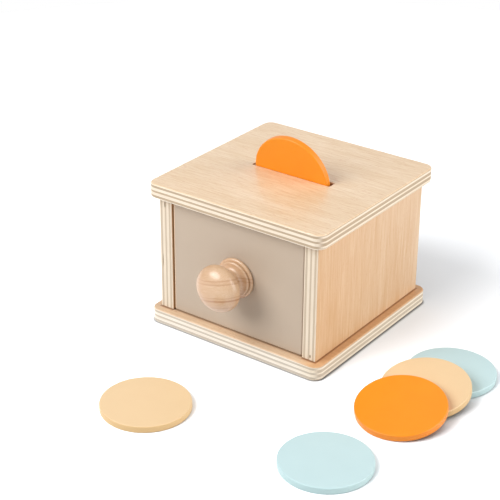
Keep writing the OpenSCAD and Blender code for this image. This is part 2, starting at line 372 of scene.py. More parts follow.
def makeBoard(name, width, depth, section, corner, inset=0, cornerSteps=10):
    piece = lineObject(name, section)
    runTree(piece, boardTree, {
        "Width": width * mm, "Depth": depth * mm, "Corner": corner * mm, "Inset": inset * mm,
        "Corner steps": cornerSteps})
    return closeShell(piece)


def makeTurned(name, outline, steps=64):
    piece = lineObject(name, outline)
    runTree(piece, turningTree, {"Steps": steps, "Radius": ringRadius})
    return closeShell(piece)


def makeRod(name, radius, low, high):    # a round cutter
    return makeTurned(name, [(0, low), (radius, low), (radius, high), (0, high)], cutterSteps)


def boxOf(node):    # middle and size of a node, in millimetres
    low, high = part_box(node)
    return (low + high) / 2 / mm, (high - low) / mm


def boardFor(name, node, through, corner, arris, cornerSteps=10, grow=Vector()):    # fills a node's box
    middle, size = boxOf(node)
    size = size + 2 * grow
    index = axisNames.index(through)
    flat = [size[other] for other in range(3) if other != index]
    piece = makeBoard(name, *flat, roundedEdge(size[index], arris), corner, arris, cornerSteps)
    return moveMesh(piece, shift(middle) @ layings[through])


def partsOf(node):    # middle and size of each separate solid in a node, in millimetres
    shell = bmesh.new()
    shell.from_mesh(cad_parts[node].data)
    bmesh.ops.remove_doubles(shell, verts=shell.verts, dist=weldReach)
    left = set(shell.verts)
    found = []
    while left:
        queue = [left.pop()]
        places = []
        while queue:
            point = queue.pop()
            places.append(point.co.copy())
            near = {edge.other_vert(point) for edge in point.link_edges} & left
            left -= near
            queue.extend(near)
        low, high = (Vector([pick(place[index] for place in places) for index in range(3)])
                     for pick in (min, max))
        found.append(((low + high) / 2 / mm, (high - low) / mm))
    shell.free()
    return sorted(found, key=lambda part: tuple(part[0]))


def placeShapes(name, shape, parts, spin=0.0):    # one mesh of copies, for one body
    group = meshObject(name, [part[0] * mm for part in parts])
    runTree(group, placingTree, {"Shape": shape, "Spin": spin})
    drop(shape)
    return group


def rodCutter(name, node, axis, room, past):    # cuts the holes for a node's dowels or screws
    parts = partsOf(node)
    end = max(parts[0][1]) / 2 + past
    rod = makeRod(name + "Rod", min(parts[0][1]) / 2 + room, -end, end)
    moveMesh(rod, layings[axis])
    return closeShell(placeShapes(name, rod, parts))


# Colours and materials
def tone(red, green, blue):    # a colour as it shows on a screen, turned into the shader's own
    shares = [channel / 255 for channel in (red, green, blue)]
    return tuple(s / 12.92 if s < 0.04 else ((s + 0.055) / 1.055) ** 2.4 for s in shares) + (1.0,)


def newMaterial(name):
    material = bpy.data.materials.new(name)
    material.use_nodes = True
    material.node_tree.nodes.clear()
    return material, Graph(material.node_tree)


def closeMaterial(graph, colour, roughness, height=None, bump=0.1, metallic=0.0, coat=0.0,
                  coatRoughness=0.16):
    inputs = {"Base Color": colour, "Roughness": roughness, "Metallic": metallic,
              "Coat Weight": coat, "Coat Roughness": coatRoughness}
    if height is not None:
        inputs["Normal"] = graph.add("ShaderNodeBump", inputs={
            "Height": height, "Strength": bump, "Distance": bumpDepth})
    shader = graph.add("ShaderNodeBsdfPrincipled", inputs=inputs)
    graph.add("ShaderNodeOutputMaterial", inputs={"Surface": shader})


def readPlace(graph):    # place in millimetres and facing, one wire for each axis
    source = graph.add("ShaderNodeTexCoord", output="Object")
    spot = graph.add("ShaderNodeSeparateXYZ", inputs={0: source})
    facing = graph.add("ShaderNodeSeparateXYZ", inputs={0: source.other("Normal")})
    return ({axis: spot.other(axis) / mm for axis in axisNames},
            {axis: facing.other(axis) for axis in axisNames})


plyBuild = {
    "nine": (0.105, 0.14, 0.195, 0.12, 0.195, 0.14, 0.105),    # shares of a 9 mm board
    "six": (0.16, 0.22, 0.24, 0.22, 0.16),
    "three": (0.28, 0.44, 0.28),
}


# Stops through a board: 1 where the fibres cross those of the face, and 1 on the glue lines
def plyStops(shares, plySoft, glueSoft):
    plies, glue = [(0.0, 0.0)], [(0.0, 0.0)]
    edge = 0.0
    for count, share in enumerate(shares[:-1]):
        edge += share
        before = count % 2
        plies += [(edge - plySoft, before), (edge + plySoft, 1 - before)]
        glue += [(edge - glueSoft, 0.0), (edge, 1.0), (edge + glueSoft, 0.0)]
    return plies, glue


bayShadeReach = {"X": (-46.3, 46.3), "Y": (-54.5, 46.3), "Z": (8.7, 81.3)}    # drawer's bay, which is painted darker as shade; millimetres
wallFootShadeReach = {"X": (-55.8, 55.8), "Y": (-55.8, 55.8), "Z": (8.7, 9.3)}    # round the walls' feet, where a line of shade is painted
reachEdge = (0.2, 0.1)    # where a reach starts to show outside its box and is full inside it


def boxShare(graph, spot, reach):    # 1 inside the box and 0 outside it
    outer, inner = reachEdge
    share = 1.0
    for axis, (low, high) in reach.items():
        share = share * graph.smooth(spot[axis], low - outer, low + inner)
        share = share * (1 - graph.smooth(spot[axis], high - inner, high + outer))
    return share


# Patterns of plywood: millimetres along the grain, across it and through the board (0 for one
# that runs right through), what is added to the seed, detail and roughness
plyGrain = {
    "wobble": (22, 22, 30, 0, 2.0, 0.5),
    "bow": (60, 40, 0, 6.2, 2.0, 0.5),
    "band": (75, 9, 0, 4.1, 2.0, 0.5),
    "fleck": (3.2, 0.5, 0, 8.3, 1.0, 0.5),
    "fibre": (12, 0.45, 0.24, 0, 2.0, 0.6),
    "drift": (40, 60, 1.3, 2.9, 2.0, 0.5),
}
plySetup = {
    "wobble": 0.022, "plySoft": 0.008, "glueSoft": 0.012,    # shares of the board's thickness
    "bounceShadeBand": 0.8, "fibreMiddle": 0.42, "mouthShade": 0.5,
    "streakHeight": 0.6, "fibreHeight": 0.4, "fleckHeight": 0.3,
    "roughness": 0.62, "faceGloss": 0.14, "bump": 0.12, "coatRoughness": 0.28,
}
plyFades = {    # where each mask starts and where it is full
    "fleck": (0.6, 0.72), "endGrain": (0.15, 0.85), "gap": (0.6, 1.1), "wrap": (0.0, 0.2),
    "face": (0.6, 0.92), "rim": (0.1, 0.45), "underside": (0.88, 0.98),
    "mouth": (-51, -44), "foot": (45.8, 46.2),    # millimetres
}


def plyColour(graph, spot, facing, node, through, grain, look, build, seed):
    across = (set(axisNames) - {through, grain}).pop()
    middle, size = boxOf(node)
    index = axisNames.index(through)
    along, side = spot[grain], spot[across]

    def pattern(kind, x, y):
        run, width, deep, more, *detail = look["streakGrain"] if kind == "streak" else plyGrain[kind]
        layer = spot[through] / deep if deep else 0.0
        return graph.noise(x / run, y / width, layer + (seed + more), *detail)

    def fade(value, kind):
        return graph.smooth(value, *plyFades[kind])

    wobble = (pattern("wobble", along, side) - 0.5) * plySetup["wobble"]
    depth = (spot[through] - (middle[index] - size[index] / 2)) / size[index] + wobble
    cross, glue = (graph.ramp(depth, stops) for stops in plyStops(
        plyBuild[build], plySetup["plySoft"], plySetup["glueSoft"]))

    # Face veneer: streaks along the grain, broad soft bands and short flecks
    bowed = side + (pattern("bow", along, side) - 0.5) * look["bow"]
    streak = pattern("streak", along, bowed)
    band = pattern("band", along, bowed)
    fleck = fade(pattern("fleck", along, bowed), "fleck")
    shadeShare = graph.clamped(0.5 + (streak - 0.5) * look["streak"] + (band - 0.5) * look["band"])
    light, dark = look["faceLight"], look["faceDark"]
    if "warmLight" in look:    # painted shade and warm bounce light: redder and darker towards one side, broken up by the veneer's bands
        bounceShade = look["warmBase"] + (band - 0.5) * plySetup["bounceShadeBand"]
        for axis, slope in look["warmSlope"].items():
            bounceShade = bounceShade + spot[axis] * slope
        bounceShade = graph.clamped(bounceShade)
        light = graph.mix(bounceShade, light, look["warmLight"])
        dark = graph.mix(bounceShade, dark, look["warmDark"])
    face = graph.mix(shadeShare, light, dark)
    face = graph.mix(fleck * look["fleck"], face, look["fleckTone"])

    # Edges: light where a ply shows its side, dark where it shows its end
    run = along + (side - along) * cross
    over = side + (along - side) * cross
    fibre = pattern("fibre", run, over)
    drift = pattern("drift", run, over)
    alongFacing, acrossFacing = (facing[axis] * facing[axis] for axis in (grain, across))
    endFacing = alongFacing + (acrossFacing - alongFacing) * cross
    edge = graph.mix(fade(endFacing, "endGrain"), look["edgeSide"], look["edgeEnd"])
    fibreShare = graph.clamped((fibre - plySetup["fibreMiddle"]) * look["edgeFibre"])
    edge = graph.mix(fibreShare, edge, look["edgeDark"])
    edge = graph.mix(graph.clamped((drift - 0.5) * look["edgeDrift"]), edge, look["edgeWarm"])
    edge = graph.mix(glue * look["glue"], edge, look["edgeDark"])
    for centre, reach in look.get("gaps", []):    # where a core ply falls short
        offset = graph.add("ShaderNodeVectorMath", {"operation": "DISTANCE"}, {
            0: graph.vector(*(spot[letter] / part for letter, part in zip(axisNames, reach))),
            1: tuple(c / r for c, r in zip(centre, reach))}, "Value")
        edge = graph.mix(1 - fade(offset, "gap"), edge, look["gapTone"])
    # painted shade and bounce light on the base's edges as well
    if "warmEdge" in look:
        edge = graph.mix(bounceShade, edge, look["warmEdge"], "MULTIPLY")

    wrap = fade(facing["Z"], "wrap") * look["wrap"]    # face tone on upward arrises
    faceShare = fade(graph.math("ABSOLUTE", facing[through]) + wrap, "face")
    colour = graph.mix(faceShare, edge, face)

    # Painted light and shade: lower rims get a tone of their own, light on the lid as painted light and
    # dark on the base and walls as painted shade, and what faces the drawer's bay is painted darker as
    # shade
    under = 0 - facing["Z"]
    rim = fade(under, "rim") * (1 - fade(under, "underside"))
    colour = graph.mix(rim * look["rim"], colour, look["rimTone"])
    # painted shade inside the drawer's bay, darkest near its mouth
    if look["inside"]:
        share = boxShare(graph, spot, bayShadeReach)
        share = share * (1 - fade(spot["Y"], "mouth") * plySetup["mouthShade"])
        colour = graph.mix(share * look["inside"], colour, look["insideTone"])
    if "foot" in look:    # painted shade: a dark line where the walls stand on the base
        share = boxShare(graph, spot, wallFootShadeReach)
        share = share * fade(graph.math("ABSOLUTE", spot["X"]), "foot")
        colour = graph.mix(share * look["foot"], colour, look["footTone"])
    height = (streak * plySetup["streakHeight"] + fibre * plySetup["fibreHeight"]
              - fleck * plySetup["fleckHeight"])
    return colour, height, faceShare


boxPly = {
    "faceLight": tone(238, 214, 184), "faceDark": tone(216, 182, 139), "coat": 0.75,
    "fleckTone": tone(201, 147, 102), "fleck": 0.45, "streak": 2.6, "band": 0.7,
    "streakGrain": (14, 0.6, 0, 1.7, 3.0, 0.65), "bow": 6,
    "edgeSide": tone(246, 233, 214), "edgeEnd": tone(186, 165, 140),
    "edgeDark": tone(180, 156, 126), "edgeWarm": tone(211, 181, 143),
    "edgeFibre": 0.9, "edgeDrift": 0.9, "glue": 0.3, "gapTone": tone(120, 95, 66), "wrap": 0.4,
    # painted light on the lid's lower rims, and painted shade on what faces the drawer's bay
    "rim": 0.9, "rimTone": tone(255, 247, 231), "inside": 0.5, "insideTone": tone(132, 94, 62),
}
basePly = {**boxPly,
    "faceLight": tone(229, 201, 169), "faceDark": tone(215, 182, 148),
    # painted shade and warm bounce light from the wall: redder and darker towards the right, on faces
    # and edges
    "warmLight": tone(216, 173, 129), "warmDark": tone(202, 154, 109),
    "coat": 0.0, "warmBase": -4.2, "warmSlope": {"X": 0.095}, "warmEdge": (0.97, 0.94, 0.885, 1),
    # painted shade: a dark lower rim where the base meets the floor, and a dark line where the walls
    # stand on it
    "rim": 0.5, "rimTone": tone(98, 92, 84), "foot": 0.6, "footTone": tone(140, 84, 46),
    "edgeSide": tone(251, 243, 230), "edgeEnd": tone(206, 195, 180)}
wallPly = {**boxPly,
    "faceLight": tone(224, 197, 167), "faceDark": tone(208, 170, 131),
    # painted shade and warm bounce light: redder and darker towards the front and the foot
    "warmLight": tone(217, 183, 143), "warmDark": tone(201, 156, 110),
    "coat": 0.0, "warmBase": 0.81, "warmSlope": {"Y": -0.0091, "Z": -0.0077},    # for each millimetre
    "edgeSide": tone(238, 225, 206), "edgeEnd": tone(202, 185, 163),
    "fleckTone": tone(202, 153, 111), "streakGrain": (28, 1.0, 0, 1.7, 3.0, 0.65),
    # painted shade: a dark lower rim where the walls meet the base
    "bow": 3, "streak": 2.0, "rim": 0.85, "rimTone": tone(150, 98, 58)}
thinPly = {**boxPly,
    "faceLight": tone(232, 208, 178), "faceDark": tone(218, 188, 154), "glue": 0.45,
    "rim": 0.0, "inside": 0.0, "coat": 0.0}

# Small dark gaps in the core plies, in millimetres: middle and reach
leftGaps = [((-50.9, -55, 76.3), (0.45, 1.2, 2.2)), ((-52.9, -55, 40), (0.25, 1.2, 5))]
rightGaps = [((51.55, -55, 11.9), (0.45, 1.2, 1.3))]


def plyMaterial(name, node, through, grain, look, build, seed, gaps=()):
    material, graph = newMaterial(name)
    colour, height, faceShare = plyColour(
        graph, *readPlace(graph), node, through, grain, {**look, "gaps": gaps}, build, seed)
    closeMaterial(graph, colour, plySetup["roughness"] - faceShare * plySetup["faceGloss"],
                  height, plySetup["bump"], coat=faceShare * look["coat"] if look["coat"] else 0.0,
                  coatRoughness=plySetup["coatRoughness"])
    return material


# Holes for the dowels and the screws, in millimetres: the room round each, past a blind end and
# past an open one, then the base's screws
fitSetup = {"room": 0.05, "endRoom": 0.5, "over": 1, "headR": 3, "shankR": 1.5, "screwL": 25}
room, endRoom, over, headR, shankR, screwL = fitSetup.values()


def baseScrew(step, room):    # head's face at 0, point up; with room it is the hole's outline
    tip = shankR / 4    # blunt
    headH, pointH = headR - shankR, 2 * shankR
    straight = screwL - pointH - headH
    points = [(0, -over), (headR + room, -over)] if room else [(0, 0)]    # a hole runs on downwards
    points += [(headR + room, -room), (shankR + room, headH)]
    rows = round(straight / step)
    points += [(shankR + room, headH + straight * row / rows) for row in range(1, rows)]
    rows = round(pointH / step)
    for row in range(rows + 1):
        share = row / rows
        points.append((shankR + room - (shankR - tip) * share ** 2, screwL - pointH * (1 - share)))
    return points + [(0, screwL + room)]


screwParts = partsOf("base_screws")
screwHole = makeTurned("screwHole", baseScrew(2 * shankR, room), cutterSteps)
moveMesh(screwHole, shift((0, 0, -screwL / 2)))
baseScrewHoles = closeShell(placeShapes("baseScrewHoles", screwHole, screwParts))
lidDowelHoles = rodCutter("lidDowelHoles", "lid_dowels", "Z", room, endRoom)
print("holes for screws and dowels are ready")


# Lid, base and the three fixed walls
lidSetup = {"arris": 0.9, "corner": 6,    # millimetres, and the base has the same edges
            "slotEase": 0.35, "slotCorner": 0.8, "slotEnd": 2, "slotWidth": 6}
wallSetup = {"edges": (0.8, 0.6)}    # corner and arris

lidMiddle, lidSize = boxOf("lid_panel")
slotLength = boxOf("slot_coin")[1].x + 2 * lidSetup["slotEnd"]
slotEdge = openingEdge(lidSize.z, lidSetup["slotEase"])
slotCutter = makeBoard("slotCutter", slotLength, lidSetup["slotWidth"], slotEdge,
                       lidSetup["slotCorner"], cornerSteps=4)
moveMesh(slotCutter, shift((0, 0, lidMiddle.z)))
for name, node, wood, look, seed, cutters in (
        ("lidBoard", "lid_panel", "lidPly", boxPly, 3.0, (slotCutter, lidDowelHoles)),
        ("baseBoard", "base_panel", "basePly", basePly, 11.0, (baseScrewHoles,))):
    board = boardFor(name, node, "Z", lidSetup["corner"], lidSetup["arris"])
    cut(board, *cutters)
    finishPiece(board, plyMaterial(wood, node, "Z", "X", look, "nine", seed),
                "carcass", node)

for name, node, through, seed, gaps in (
        ("leftWall", "left_side_panel", "X", 21.0, leftGaps),
        ("rightWall", "right_side_panel", "X", 33.0, rightGaps),
        ("backWall", "back_panel", "Y", 45.0, ())):
    wall = boardFor(name, node, through, *wallSetup["edges"], cornerSteps=3)
    cut(wall, lidDowelHoles, baseScrewHoles)
    finishPiece(wall, plyMaterial(name + "Ply", node, through, "Z", wallPly, "nine", seed, gaps),
                "carcass", node)
drop(slotCutter, lidDowelHoles, baseScrewHoles)
print("carcass is made")


# Coins
coinSetup = {"ease": 0.7, "steps": 128, "firstSeed": 2.0, "nextSeed": 3}


def coinAxis(node):    # the way that the coin's flat side faces
    areas = {}
    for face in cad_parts[node].data.polygons:
        key = tuple(round(part, 2) for part in face.normal)
        areas[key] = areas.get(key, Vector()) + face.normal * face.area
    return max(areas.values(), key=lambda total: total.length).normalized()


coinLook = {
    "cloud": 14, "grit": 0.5,    # millimetres across
    "cloudShare": 1.5, "faceFade": (0.2, 0.7), "roughness": 0.42, "uneven": 0.1, "bump": 0.05,
}


def paintMaterial(name, paint, axis, seed):
    material, graph = newMaterial(name)
    spot, facing = readPlace(graph)
    cloud, grit = (graph.noise(spot["X"] / size, spot["Y"] / size, spot["Z"] / size + seed, 2.0)
                   for size in (coinLook["cloud"], coinLook["grit"]))
    shadeShare = graph.clamped((cloud - 0.5) * coinLook["cloudShare"] + 0.5)
    light, dark, rim = (tone(*channels) for channels in paint)
    colour = graph.mix(shadeShare, light, dark)
    flat = sum(facing[letter] * share for letter, share in zip(axisNames, axis))
    # painted shade: the coin's rim is darker than its faces
    colour = graph.mix(graph.smooth(flat * flat, *coinLook["faceFade"]), rim, colour)
    roughness = coinLook["roughness"] + (grit - 0.5) * coinLook["uneven"]
    closeMaterial(graph, colour, roughness, grit, coinLook["bump"])
    return material


coinSize = boxOf("floor_peach_coin")[1]    # it lies flat
coinEase = coinSetup["ease"]
coinEdge = [(coinSize.x / 2 - coinEase + x, y) for x, y in roundedEdge(coinSize.z, coinEase)]
coinOutline = [(0, -coinSize.z / 2), *coinEdge, (0, coinSize.z / 2)]
coinPaints = {    # light, dark, and the rim's darker tone, which is painted shade
    "orange": ((243, 147, 12), (240, 141, 8), (240, 139, 10)),
    "peach": ((232, 202, 159), (229, 198, 155), (219, 184, 131)),
    "blue": ((196, 223, 227), (193, 220, 224), (186, 214, 216)),
}
for count, (name, node, body, paint) in enumerate((
        ("coinInLid", "slot_coin", "coin_in_slot", "orange"),
        ("coinByDrawer", "floor_peach_coin", "peach_coin_on_floor", "peach"),
        ("coinByCorner", "floor_blue_coin", "blue_coin_on_floor", "blue"),
        ("coinLyingFlat", "stack_blue_coin", "blue_coin_in_stack", "blue"),
        ("coinLeaningLow", "stack_peach_coin", "peach_coin_in_stack", "peach"),
        ("coinLeaningHigh", "stack_orange_coin", "orange_coin_in_stack", "orange"))):
    coin = makeTurned(name, coinOutline, coinSetup["steps"])
    axis = coinAxis(node)
    tilt = Vector((0, 0, 1)).rotation_difference(axis).to_matrix().to_4x4()
    moveMesh(coin, shift(boxOf(node)[0]) @ tilt)
    seed = coinSetup["firstSeed"] + coinSetup["nextSeed"] * count
    finishPiece(coin, paintMaterial(name + "Paint", coinPaints[paint], axis, seed),
                body, node)
print("coins are made")


# Drawer
drawerSetup = {    # corner and arris of each board, millimetres
    "front": (1.2, 0.95), "six": (0.6, 0.45), "three": (0.4, 0.2), "knobScrewD": 4}
frontGrow = Vector((1.0, 0, 0.5))    # how far the front fills its gaps, millimetres
frontLook = {
    "paintLight": tone(191, 174, 155), "paintDark": tone(187, 170, 152),
    "bareLitTone": tone(243, 208, 172), "bareFrom": 0.7, "bareTo": 1.0,    # millimetres from the left side
    "cloud": 18, "grit": 0.6, "waver": 5,    # millimetres across
    "bareWaver": 0.2, "paintWaver": 0.03, "waverSeed": 3.3, "cloudSeed": 6.1,
    "backShade": 0.4, "backFade": (0.0, 0.4), "bareFade": (0.2, 0.5), "paintFade": (0.5, 0.8),
    "roughness": 0.6, "paintGloss": 0.08, "gritHeight": 0.5, "bump": 0.08,
}


def frontMaterial():
    look = frontLook
    material, graph = newMaterial("frontPaintedPly")
    spot, facing = readPlace(graph)
    colour, height = plyColour(graph, spot, facing, "drawer_front", "Y", "X",
                               {**boxPly, "inside": 0, "rim": 0}, "nine", 57.0)[:2]
    waver = graph.noise(spot["X"] / look["waver"], spot["Z"] / look["waver"], look["waverSeed"]) - 0.5
    front = 0 - facing["Y"]
    # painted shade on the front's sides and back, which sit in the gaps and behind the face
    backShare = (1 - graph.smooth(front, *look["backFade"])) * look["backShade"]
    colour = graph.mix(backShare, colour, boxPly["insideTone"])
    reach = boxOf("drawer_front")[1].x / 2 + frontGrow.x
    bare = 1 - graph.smooth(spot["X"] + waver * look["bareWaver"],    # left arris: bare wood, shown on this side only as painted light where the key lamp falls
                            look["bareFrom"] - reach, look["bareTo"] - reach)
    colour = graph.mix(bare * graph.smooth(front, *look["bareFade"]), colour, look["bareLitTone"])
    painted = graph.smooth(front + waver * look["paintWaver"], *look["paintFade"]) * (1 - bare)
    cloud = graph.noise(spot["X"] / look["cloud"], spot["Z"] / look["cloud"], look["cloudSeed"])
    paint = graph.mix(cloud, look["paintLight"], look["paintDark"])
    grit = graph.noise(*(spot[axis] / look["grit"] for axis in axisNames))
    closeMaterial(graph, graph.mix(painted, colour, paint),
                  look["roughness"] - painted * look["paintGloss"],
                  height + (grit * look["gritHeight"] - height) * painted, look["bump"])
    return material


floorMiddle, floorSize = boxOf("drawer_floor")
grooveSize = floorSize + Vector((2 * room, 2 * room + over, 2 * room))
groove = makeBoard("groove", *grooveSize.xy, roundedEdge(grooveSize.z, 0), 0, cornerSteps=1)
moveMesh(groove, shift(floorMiddle + Vector((0, over / 2, 0))))
frontPinHoles = rodCutter("frontPinHoles", "drawer_front_dowels", "Y", room, endRoom)
backPinHoles = rodCutter("backPinHoles", "drawer_back_dowels", "X", room, over)
knobScrewMiddle, knobScrewSize = boxOf("knob_screw")
knobShankR = drawerSetup["knobScrewD"] / 2
knobScrewEnd = knobScrewMiddle.y - knobScrewSize.y / 2 - endRoom
knobHoleEnd = boxOf("knob_washer")[0].y + over
knobHole = makeRod("knobHole", knobShankR + room, 0, knobHoleEnd - knobScrewEnd)
moveMesh(knobHole, shift((0, knobHoleEnd, knobScrewMiddle.z)) @ frontward)

drawerFace = boardFor("drawerFace", "drawer_front", "Y", *drawerSetup["front"], 5, frontGrow)
cut(drawerFace, groove, frontPinHoles, knobHole)
finishPiece(drawerFace, frontMaterial(), "drawer", "drawer_front")

sideCutters = (groove, frontPinHoles, backPinHoles)
for name, node, through, grain, build, seed, cutters in (
        ("drawerLeftWall", "drawer_left_wall", "X", "Y", "six", 61.0, sideCutters),
        ("drawerRightWall", "drawer_right_wall", "X", "Y", "six", 65.0, sideCutters),
        ("drawerBackWall", "drawer_back_wall", "Y", "X", "six", 69.0, (backPinHoles,)),
        ("drawerFloorBoard", "drawer_floor", "Z", "X", "three", 73.0, ())):
    board = boardFor(name, node, through, *drawerSetup[build], cornerSteps=3)
    cut(board, *cutters)
    finishPiece(board, plyMaterial(name + "Ply", node, through, grain, thinPly, build, seed),
                "drawer", node)
drop(groove, frontPinHoles, backPinHoles)
print("drawer is made")


# Knob
knobSetup = {"collarD": 24.4, "collarT": 2.3, "stepD": 21.6, "stepT": 1.9, "neckD": 13,
             "headD": 28, "domeH": 8.6, "headBackH": 6.2, "domePower": 2.3,
             "steps": 96, "rimSteps": 12, "backSteps": 14, "domeSteps": 24}


def knobOutline(setup, length):
    headR, neckR, collarR, stepR, collarRim, stepRim = (
        setup[part] / 2 for part in ("headD", "neckD", "collarD", "stepD", "collarT", "stepT"))
    headH = length - setup["domeH"]
    ledge = setup["collarT"] + setup["stepT"]
    neckLow = ledge + (stepR - neckR) / 2
    coveX = stepR - stepRim
    rimSteps, domeSteps = setup["rimSteps"], setup["domeSteps"]
    points = [(0, 0)]
    points += arc(collarR - collarRim, collarRim, collarRim, collarRim, -90, 90, rimSteps)
    points += arc(coveX, setup["collarT"] + stepRim, stepRim, stepRim, -90, 90, rimSteps)
    points += arc(coveX, neckLow, coveX - neckR, neckLow - ledge, -90, -180, rimSteps)
    backAngle = -math.degrees(math.acos(neckR / headR))
    points += arc(0, headH, headR, setup["headBackH"], backAngle, 0, setup["backSteps"])
    power = 2 / setup["domePower"]
    for step in range(1, domeSteps + 1):
        turn = math.radians(90 * step / domeSteps)
        points.append((headR * max(math.cos(turn), 0) ** power,
                       headH + setup["domeH"] * math.sin(turn) ** power))
    return points


beechLook = {
    "light": tone(220, 190, 158), "dark": tone(199, 159, 121), "line": tone(172, 120, 82),
    "end": tone(192, 147, 104), "fleckTone": tone(176, 124, 84), "coat": 0.6,
    "oneSideShade": 0.25,    # painted shade: the end-grain tone shows on the knob's left side only, darkening it
}
dowelLook = {
    "light": tone(238, 216, 182), "dark": tone(222, 192, 152), "line": tone(204, 166, 122),
    "end": tone(200, 166, 126), "fleckTone": tone(190, 146, 104), "coat": 0.0,
    "oneSideShade": 0,
}
woodGrain = {
    # Millimetres along the fibres and across them, then detail and roughness
    "bend": (30, 30, 2.0, 0.5), "streak": (12, 0.5, 3.0, 0.6), "fleck": (1.6, 0.25, 1.0, 0.5),
    "bendBy": 3, "growthSpan": 60,    # millimetres
    "ringCurve": 0.012,    # how much the rings bend round the heart
    "streakShare": 1.6, "fleckFade": (0.66, 0.78), "fleckShare": 0.3,
    "oneSideShadeFade": (0.0, 0.6), "endFade": (0.3, 1.0), "endShare": 0.6,
    "roughness": 0.36, "uneven": 0.1, "bump": 0.08,
}


def woodMaterial(name, look, origin, fibreAxis, ringAxis, growth, seed):
    material, graph = newMaterial(name)
    source = graph.add("ShaderNodeTexCoord", output="Object")
    offset = graph.add("ShaderNodeVectorMath", {"operation": "SUBTRACT"},
                       {0: source, 1: tuple(origin)})
    thirdAxis = fibreAxis.cross(ringAxis)

    def dot(vector, axis):
        return graph.add("ShaderNodeVectorMath", {"operation": "DOT_PRODUCT"},
                         {0: vector, 1: tuple(axis)}, "Value")

    run, ring, third = (dot(offset, axis) / mm for axis in (fibreAxis, ringAxis, thirdAxis))
    made = woodGrain

    def pattern(kind, across):
        length, width, *detail = made[kind]
        return graph.noise(run / length, across / width, third / width + seed, *detail)

    level = ring + (pattern("bend", ring) - 0.5) * made["bendBy"] + third * third * made["ringCurve"]
    lines = graph.ramp(level / made["growthSpan"] + 0.5, growth)
    streak = pattern("streak", level)
    fleck = graph.smooth(pattern("fleck", ring), *made["fleckFade"]) * made["fleckShare"]
    shadeShare = graph.clamped(0.5 + (streak - 0.5) * made["streakShare"])
    colour = graph.mix(shadeShare, look["light"], look["dark"])
    colour = graph.mix(lines, colour, look["line"])
    colour = graph.mix(fleck, colour, look["fleckTone"])
    end = dot(source.other("Normal"), fibreAxis)
    # a knob gets the end-grain tone on one side only, as painted shade; a dowel gets it on both ends
    if look["oneSideShade"]:
        endShare = graph.smooth(look["oneSideShade"] - end, *made["oneSideShadeFade"])
    else:
        endShare = graph.smooth(end * end, *made["endFade"])
    colour = graph.mix(endShare * made["endShare"], colour, look["end"])
    closeMaterial(graph, colour, made["roughness"] + streak * made["uneven"], streak, made["bump"],
                  coat=look["coat"])
    return material


knobMiddle, knobSize = boxOf("drawer_knob")
knobHalf = Vector((0, knobSize.y / 2, 0))
knobPiece = makeTurned("turnedKnob", knobOutline(knobSetup, knobSize.y), knobSetup["steps"])
moveMesh(knobPiece, shift(knobMiddle + knobHalf) @ frontward)
knobTurn = math.radians(12)    # how far the knob's grain is turned from level
knobGrowth = [(0.0, 0.1), (0.30, 0.1), (0.317, 0.5), (0.33, 0.1), (0.345, 0.5), (0.365, 0.15),
              (0.41, 0.2), (0.426, 0.95), (0.438, 0.15), (0.449, 0.1), (0.456, 0.55), (0.465, 0.0),
              (0.575, 0.0), (0.586, 0.55), (0.596, 0.1), (0.611, 0.1), (0.62, 0.6), (0.63, 0.0)]
knobBeech = woodMaterial(
    "knobBeech", beechLook, (knobMiddle - knobHalf) * mm,
    Vector((math.cos(knobTurn), 0, math.sin(knobTurn))),
    Vector((-math.sin(knobTurn), 0, math.cos(knobTurn))), knobGrowth, 4.0)
cut(knobPiece, knobHole)
drop(knobHole)
finishPiece(knobPiece, knobBeech, "drawer", "drawer_knob", "turned")
print("knob is made")


# Dowels, screws and the washer
dowelSetup = {"chamfer": 0.6, "flutes": {"Z": 20, "Y": 14, "X": 14}, "fluteDepth": 0.09, "steps": 120}
dowelGrowth = [(0.0, 0.1), (0.3, 0.1), (0.34, 0.6), (0.4, 0.1), (0.62, 0.1), (0.66, 0.5), (0.7, 0.1)]


def cutRidges(piece, flutes, pitch, depthShare, low, high, fade):    # pitch is 0 for straight flutes
    runTree(piece, ridgeTree, {
        "Round": float(flutes), "Per metre": 1 / (pitch * mm) if pitch else 0.0,
        "Depth share": depthShare, "From": low * mm, "To": high * mm, "Fade": fade * mm})


def makeDowels(name, node, body, axis, fibre, ring, seed):
    parts = partsOf(node)
    length, radius = max(parts[0][1]), min(parts[0][1]) / 2
    half, chamfer = length / 2, dowelSetup["chamfer"]
    end = [(0, half), (radius - chamfer, half), (radius, half - chamfer), (radius, half - chamfer * 2)]
    outline = [(x, -y) for x, y in end] + end[::-1]
    dowel = makeTurned(name + "Shape", outline, dowelSetup["steps"])
    cutRidges(dowel, dowelSetup["flutes"][axis], 0, dowelSetup["fluteDepth"],
              chamfer / 2 - half, half - chamfer / 2, chamfer)
    moveMesh(dowel, layings[axis])
    group = placeShapes(name, dowel, parts)
    wood = woodMaterial(name + "Wood", dowelLook, parts[0][0] * mm, Vector(fibre), Vector(ring),
                        dowelGrowth, seed)
    finishPiece(group, wood, body, node, "fluted")


zincLook = {
    "bright": tone(226, 228, 232), "dull": tone(204, 204, 202),
    "cloud": 1.5, "grit": 0.12,    # millimetres across
    "roughness": 0.24, "uneven": 0.16, "bump": 0.06, "metallic": 0.9,
}


def zincMaterial():
    material, graph = newMaterial("brightZinc")
    spot = readPlace(graph)[0]
    cloud, grit = (graph.noise(*(spot[axis] / size for axis in axisNames))
                   for size in (zincLook["cloud"], zincLook["grit"]))
    colour = graph.mix(cloud, zincLook["bright"], zincLook["dull"])
    closeMaterial(graph, colour, zincLook["roughness"] + cloud * zincLook["uneven"], grit,
                  zincLook["bump"], metallic=zincLook["metallic"])
    return material


